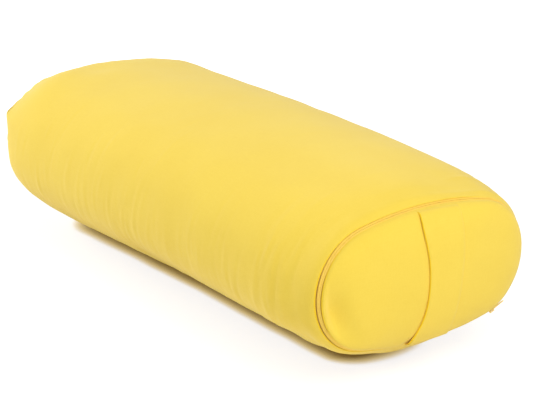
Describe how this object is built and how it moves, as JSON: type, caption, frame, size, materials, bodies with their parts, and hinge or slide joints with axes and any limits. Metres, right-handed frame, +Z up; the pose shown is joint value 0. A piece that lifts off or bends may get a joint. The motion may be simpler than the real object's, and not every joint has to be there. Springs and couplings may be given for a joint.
{
  "type": "oval yoga bolster",
  "caption": "Firm oval yoga bolster: long padded body with drawn-in ends and domed end panels, a zip round the front panel and a flat cloth handle band over it.",
  "frame": {"origin": "on the floor, in the middle of the bolster's bounding box", "axes": "+X along the bolster towards the end with the zip and the handle band, +Y across it, +Z up"},
  "size_m": [0.65, 0.289, 0.1905],
  "materials": {
    "cover_cloth": "matt plain-woven cotton, bright warm yellow",
    "handle_interlining": "white woven stiffener",
    "zip_tape": "woven zip tape, golden orange",
    "zip_coil": "nylon coil, golden orange",
    "lacquered_metal": "lacquered to match the zip",
    "zip_metal": "plain bright metal",
    "liner_cloth": "unbleached thin cotton",
    "liner_zip_tape": "woven zip tape, ecru",
    "liner_zip_coil": "nylon coil, ecru",
    "fill_fibre": "loose fluffy fibre, firmly packed"
  },
  "bodies": {
    "root": {"cover_tube": "cover_cloth", "cover_front_panel": "cover_cloth", "cover_rear_panel": "cover_cloth", "handle_face": "cover_cloth", "handle_backing": "cover_cloth", "handle_interlining": "handle_interlining", "cover_zip_tape_body_side": "zip_tape", "cover_zip_tape_panel_side": "zip_tape", "cover_zip_coil_body_side": "zip_coil", "cover_zip_coil_panel_side": "zip_coil", "cover_zip_top_stop_body_side": "zip_metal", "cover_zip_top_stop_panel_side": "zip_metal", "cover_zip_bottom_stop": "zip_metal", "liner_tube": "liner_cloth", "liner_front_panel": "liner_cloth", "liner_rear_panel": "liner_cloth", "liner_zip_tape_lower": "liner_zip_tape", "liner_zip_tape_upper": "liner_zip_tape", "liner_zip_coil_lower": "liner_zip_coil", "liner_zip_coil_upper": "liner_zip_coil", "liner_zip_top_stop_lower": "zip_metal", "liner_zip_top_stop_upper": "zip_metal", "liner_zip_bottom_stop": "zip_metal", "fibre_fill": "fill_fibre"},
    "cover_slider": {"cover_zip_slider": "lacquered_metal"},
    "cover_pull_tab": {"cover_zip_pull_tab": "lacquered_metal"},
    "liner_slider": {"liner_zip_slider": "zip_metal"}
  },
  "joints": [
    {"name": "cover_zip_run", "type": "hinge", "parent": "root", "child": "cover_slider", "pos_m": [0.3008, 0.0628, 0.1035], "axis": [1, 0, 0], "range_deg": [0, 132]},
    {"name": "pull_tab_swing", "type": "hinge", "parent": "cover_slider", "child": "cover_pull_tab", "pos_m": [0.30234, 0.08923, 0.04415], "axis": [-0.788, 0.2504, -0.5624], "range_deg": [0, 176]},
    {"name": "liner_zip_run", "type": "slide", "parent": "root", "child": "liner_slider", "axis": [-1, 0, 0], "range_m": [0, 0.28]}
  ]
}
